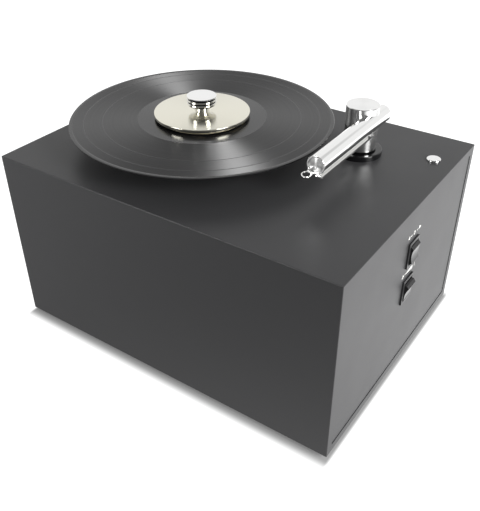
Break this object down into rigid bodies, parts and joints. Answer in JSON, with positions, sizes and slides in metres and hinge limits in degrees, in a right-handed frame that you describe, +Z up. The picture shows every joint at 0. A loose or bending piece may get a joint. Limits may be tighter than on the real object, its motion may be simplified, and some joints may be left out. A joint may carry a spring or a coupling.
{
  "type": "record cleaning machine",
  "caption": "Vacuum record cleaning machine: black case with a turning platter, clamped record, swinging suction arm on a tower, tank plug and rocker switches.",
  "frame": {"origin": "on the floor under the middle of the case", "axes": "+X to the right along the front, +Y to the back, +Z up"},
  "size_m": [0.4361, 0.3289, 0.2802],
  "materials": {
    "satin_black_board": "satin",
    "side_panel_board": "satin",
    "bare_wood": "matte",
    "zinc_screw": "satin",
    "black_rubber": "matte",
    "polished_chrome": "polished",
    "brushed_steel": "brushed",
    "aluminium": "satin",
    "brass": "satin",
    "bronze_bush": "satin",
    "black_vinyl": "gloss",
    "label_paper": "matte",
    "black_gloss_plastic": "gloss",
    "black_plastic": "matte",
    "white_plastic": "satin",
    "hose_rubber": "satin",
    "velvet": "pile",
    "spring_steel": "bright"
  },
  "bodies": {
    "case": {"top_panel": "satin_black_board", "front_panel": "satin_black_board", "back_panel": "satin_black_board", "bottom_panel": "satin_black_board", "left_side_panel": "side_panel_board", "right_side_panel": "side_panel_board", "corner_battens": "bare_wood", "base_screws": "zinc_screw", "feet": "black_rubber", "bearing_housing": "brushed_steel", "bearing_bushes": "bronze_bush", "gearbox_housing": "aluminium", "gearmotor_can": "brushed_steel", "gearmotor_bracket": "brushed_steel", "bracket_standoffs": "brass", "base_flange": "black_gloss_plastic", "riser_pipe": "brushed_steel", "riser_retaining_ring": "spring_steel", "top_panel_screws": "zinc_screw", "switch_bezels": "black_plastic", "waste_tank": "white_plastic", "tank_gasket": "black_rubber", "tank_lid": "white_plastic", "rinse_pipe": "white_plastic", "drain_spout": "black_plastic", "suction_hose": "hose_rubber", "vacuum_hose": "hose_rubber", "turbine_housing": "black_plastic", "vacuum_motor": "brushed_steel", "turbine_seat": "black_rubber", "exhaust_grille": "black_plastic", "mains_inlet": "black_plastic", "inlet_pins": "brass", "back_screws": "zinc_screw"},
    "platter": {"spindle": "polished_chrome", "platter_disc": "aluminium", "platter_mat": "black_rubber", "shaft_coupling": "aluminium", "gearbox_shaft": "brushed_steel"},
    "turbine_rotor": {"impeller": "aluminium", "impeller_shaft": "brushed_steel"},
    "record": {"record": "black_vinyl", "record_labels": "label_paper"},
    "clamp": {"clamp_disc": "polished_chrome", "clamp_knob": "polished_chrome", "clamp_seal": "black_rubber"},
    "arm_seat": {"arm_return_spring": "spring_steel", "spring_thrust_washer": "bronze_bush"},
    "arm": {"arm_tower": "polished_chrome", "arm_tube": "polished_chrome", "arm_end_caps": "polished_chrome", "suction_lips": "brushed_steel", "velvet_strips": "velvet", "finger_ring": "brushed_steel", "arm_guide_bush": "bronze_bush"},
    "plug": {"tank_plug": "polished_chrome", "plug_o_ring": "black_rubber"},
    "upper_switch": {"upper_rocker": "black_gloss_plastic"},
    "lower_switch": {"lower_rocker": "black_gloss_plastic"},
    "drain": {"drain_cap": "black_rubber"}
  },
  "joints": [
    {"name": "platter_spin", "type": "hinge", "parent": "case", "child": "platter", "pos_m": [-0.0535, 0, 0.2], "axis": [0, 0, 1], "continuous": true},
    {"name": "turbine_spin", "type": "hinge", "parent": "case", "child": "turbine_rotor", "pos_m": [0, 0.094, 0.11], "axis": [0, 0, 1], "continuous": true},
    {"name": "record_lift", "type": "slide", "parent": "platter", "child": "record", "axis": [0, 0, 1], "range_m": [0, 0.06]},
    {"name": "clamp_lift", "type": "slide", "parent": "record", "child": "clamp", "axis": [0, 0, 1], "range_m": [0, 0.06]},
    {"name": "arm_drop", "type": "slide", "parent": "case", "child": "arm_seat", "axis": [0, 0, 1], "range_m": [-0.0009, 0], "stiffness_N_per_m": 2600, "springref_m": 0.0045, "deforming": ["arm_return_spring"]},
    {"name": "arm_swing", "type": "hinge", "parent": "arm_seat", "child": "arm", "pos_m": [0.113, 0.07, 0.25], "axis": [0, 0, 1], "range_deg": [-58, 20]},
    {"name": "upper_switch_tilt", "type": "hinge", "parent": "case", "child": "upper_switch", "pos_m": [0.2112, 0, 0.165], "axis": [0, 1, 0], "range_deg": [-12.5, 12.5]},
    {"name": "lower_switch_tilt", "type": "hinge", "parent": "case", "child": "lower_switch", "pos_m": [0.2112, 0, 0.117], "axis": [0, 1, 0], "range_deg": [-25, 0]},
    {"name": "plug_lift", "type": "slide", "parent": "case", "child": "plug", "axis": [0, 0, 1], "range_m": [0, 0.025]},
    {"name": "drain_cap_pull", "type": "slide", "parent": "case", "child": "drain", "axis": [0, 1, 0], "range_m": [0, 0.02]}
  ]
}
